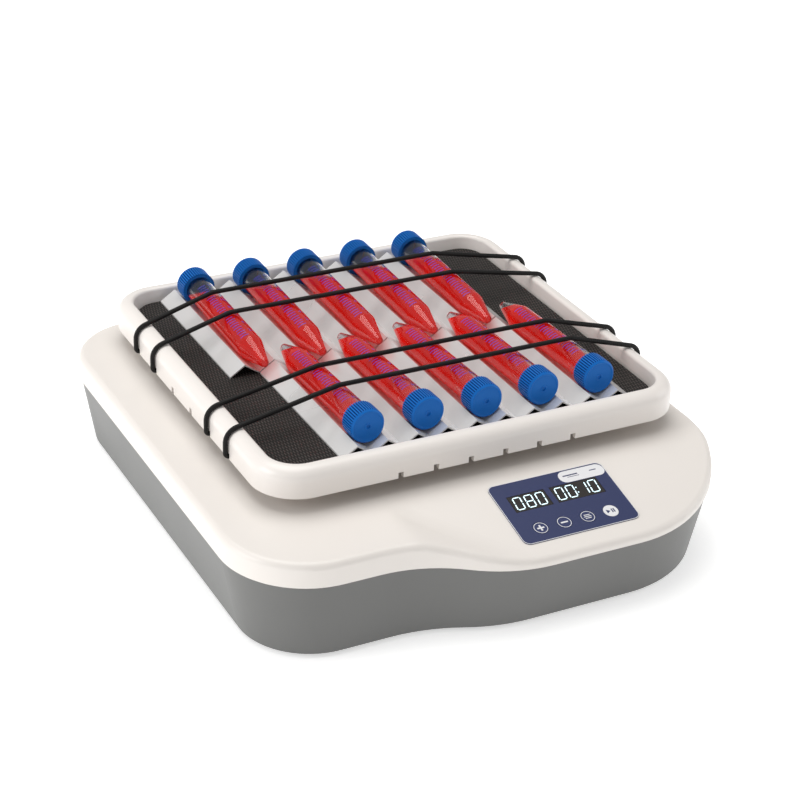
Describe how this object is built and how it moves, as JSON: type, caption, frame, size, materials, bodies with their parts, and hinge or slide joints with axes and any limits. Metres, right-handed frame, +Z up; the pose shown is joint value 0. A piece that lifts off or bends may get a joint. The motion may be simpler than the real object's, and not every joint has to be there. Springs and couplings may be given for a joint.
{
  "type": "orbital shaker",
  "caption": "Bench-top orbital shaker: a drafted base with a sloped key panel and an orbiting tray that holds capped tubes on folded racks under elastic cords.",
  "frame": {"origin": "middle of the footprint's bounding box, on the surface that the feet stand on", "axes": "+Z up, +X to the operator's right, +Y to the back; the control panel faces -Y"},
  "size_m": [0.321, 0.349, 0.1086],
  "materials": {
    "cover_white": "satin moulded plastic",
    "casing_grey": "fine satin moulded plastic",
    "rubber_black": "matte",
    "mat_rubber": "fine ribbed",
    "steel": "zinc plated",
    "plate_steel": "pressed sheet",
    "aluminium": "machined",
    "bearing_steel": "polished",
    "motor_black": "black",
    "belt_black": "matte",
    "board_green": "solder mask",
    "display_black": "smoked",
    "switch_black": "satin",
    "overlay_navy": "printed film",
    "key_navy": "printed film",
    "key_white": "printed film",
    "tray_white": "satin moulded plastic",
    "rack_white": "white powder coat",
    "cord_black": "braided elastic",
    "tube_clear": "clear polypropylene",
    "cap_blue": "ribbed",
    "sample_red": "clear red liquid"
  },
  "bodies": {
    "base": {"lower_casing": "casing_grey", "top_cover": "cover_white", "rubber_feet": "rubber_black", "foot_screws": "steel", "cover_screws": "steel", "chassis_posts": "steel", "chassis_plate": "plate_steel", "plate_screws": "steel", "drive_bearing_housing": "aluminium", "drive_bearings": "bearing_steel", "idler_bearing_housings": "aluminium", "idler_bearings": "bearing_steel", "housing_screws": "steel", "motor_body": "motor_black", "motor_screws": "steel", "drive_belt": "belt_black", "power_board": "board_green", "power_board_screws": "steel", "power_inlet": "switch_black", "inlet_nut": "steel", "switch_frame": "switch_black", "control_board": "board_green", "control_board_screws": "steel", "rpm_display": "display_black", "time_display": "display_black", "key_switches": "switch_black", "panel_overlay": "overlay_navy"},
    "drive": {"drive_crank": "steel", "drive_pulley": "aluminium", "counterweight": "steel"},
    "rotor": {"motor_shaft": "steel", "motor_pulley": "aluminium"},
    "idler_1": {"idler_crank_1": "steel"},
    "idler_2": {"idler_crank_2": "steel"},
    "idler_3": {"idler_crank_3": "steel"},
    "platform": {"tray": "tray_white", "carrier_plate": "aluminium", "carrier_bearings": "bearing_steel", "tray_screws": "steel", "platform_mat": "mat_rubber", "tube_rack_front": "rack_white", "tube_rack_rear": "rack_white", "elastic_cord_1": "cord_black", "elastic_cord_2": "cord_black", "elastic_cord_3": "cord_black", "elastic_cord_4": "cord_black", "tubes_front": "tube_clear", "tubes_rear": "tube_clear", "caps_front": "cap_blue", "caps_rear": "cap_blue", "samples_front": "sample_red", "samples_rear": "sample_red"},
    "plus_key": {"key_plus": "key_navy"},
    "minus_key": {"key_minus": "key_navy"},
    "mode_key": {"key_mode": "key_navy"},
    "start_key": {"key_start": "key_white"},
    "rocker": {"power_rocker": "switch_black"}
  },
  "joints": [
    {"name": "drive_spin", "type": "hinge", "parent": "base", "child": "drive", "pos_m": [0, 0.0327, 0.053], "axis": [0, 0, 1], "continuous": true},
    {"name": "platform_orbit", "type": "hinge", "parent": "drive", "child": "platform", "pos_m": [0.00985, 0.03444, 0.069], "axis": [0, 0, 1], "continuous": true},
    {"name": "motor_spin", "type": "hinge", "parent": "base", "child": "rotor", "pos_m": [-0.078, 0.0327, 0.02], "axis": [0, 0, 1], "continuous": true},
    {"name": "idler_1_spin", "type": "hinge", "parent": "base", "child": "idler_1", "pos_m": [-0.092, -0.0323, 0.053], "axis": [0, 0, 1], "continuous": true},
    {"name": "idler_2_spin", "type": "hinge", "parent": "base", "child": "idler_2", "pos_m": [0.092, -0.0323, 0.053], "axis": [0, 0, 1], "continuous": true},
    {"name": "idler_3_spin", "type": "hinge", "parent": "base", "child": "idler_3", "pos_m": [0, 0.1227, 0.053], "axis": [0, 0, 1], "continuous": true},
    {"name": "plus_press", "type": "slide", "parent": "base", "child": "plus_key", "axis": [0, 0.225, -0.9744], "range_m": [0, 0.0004], "stiffness_N_per_m": 500},
    {"name": "minus_press", "type": "slide", "parent": "base", "child": "minus_key", "axis": [0, 0.225, -0.9744], "range_m": [0, 0.0004], "stiffness_N_per_m": 500},
    {"name": "mode_press", "type": "slide", "parent": "base", "child": "mode_key", "axis": [0, 0.225, -0.9744], "range_m": [0, 0.0004], "stiffness_N_per_m": 500},
    {"name": "start_press", "type": "slide", "parent": "base", "child": "start_key", "axis": [0, 0.225, -0.9744], "range_m": [0, 0.0004], "stiffness_N_per_m": 500},
    {"name": "power_rock", "type": "hinge", "parent": "base", "child": "rocker", "pos_m": [-0.066, 0.171, 0.022], "axis": [1, 0, 0], "range_deg": [0, 16]}
  ],
  "couplings": [
    {"joint": "platform_orbit", "follows": "drive_spin", "ratio": -1},
    {"joint": "motor_spin", "follows": "drive_spin", "ratio": 2.8644},
    {"joint": "idler_1_spin", "follows": "drive_spin", "ratio": 1},
    {"joint": "idler_2_spin", "follows": "drive_spin", "ratio": 1},
    {"joint": "idler_3_spin", "follows": "drive_spin", "ratio": 1}
  ]
}
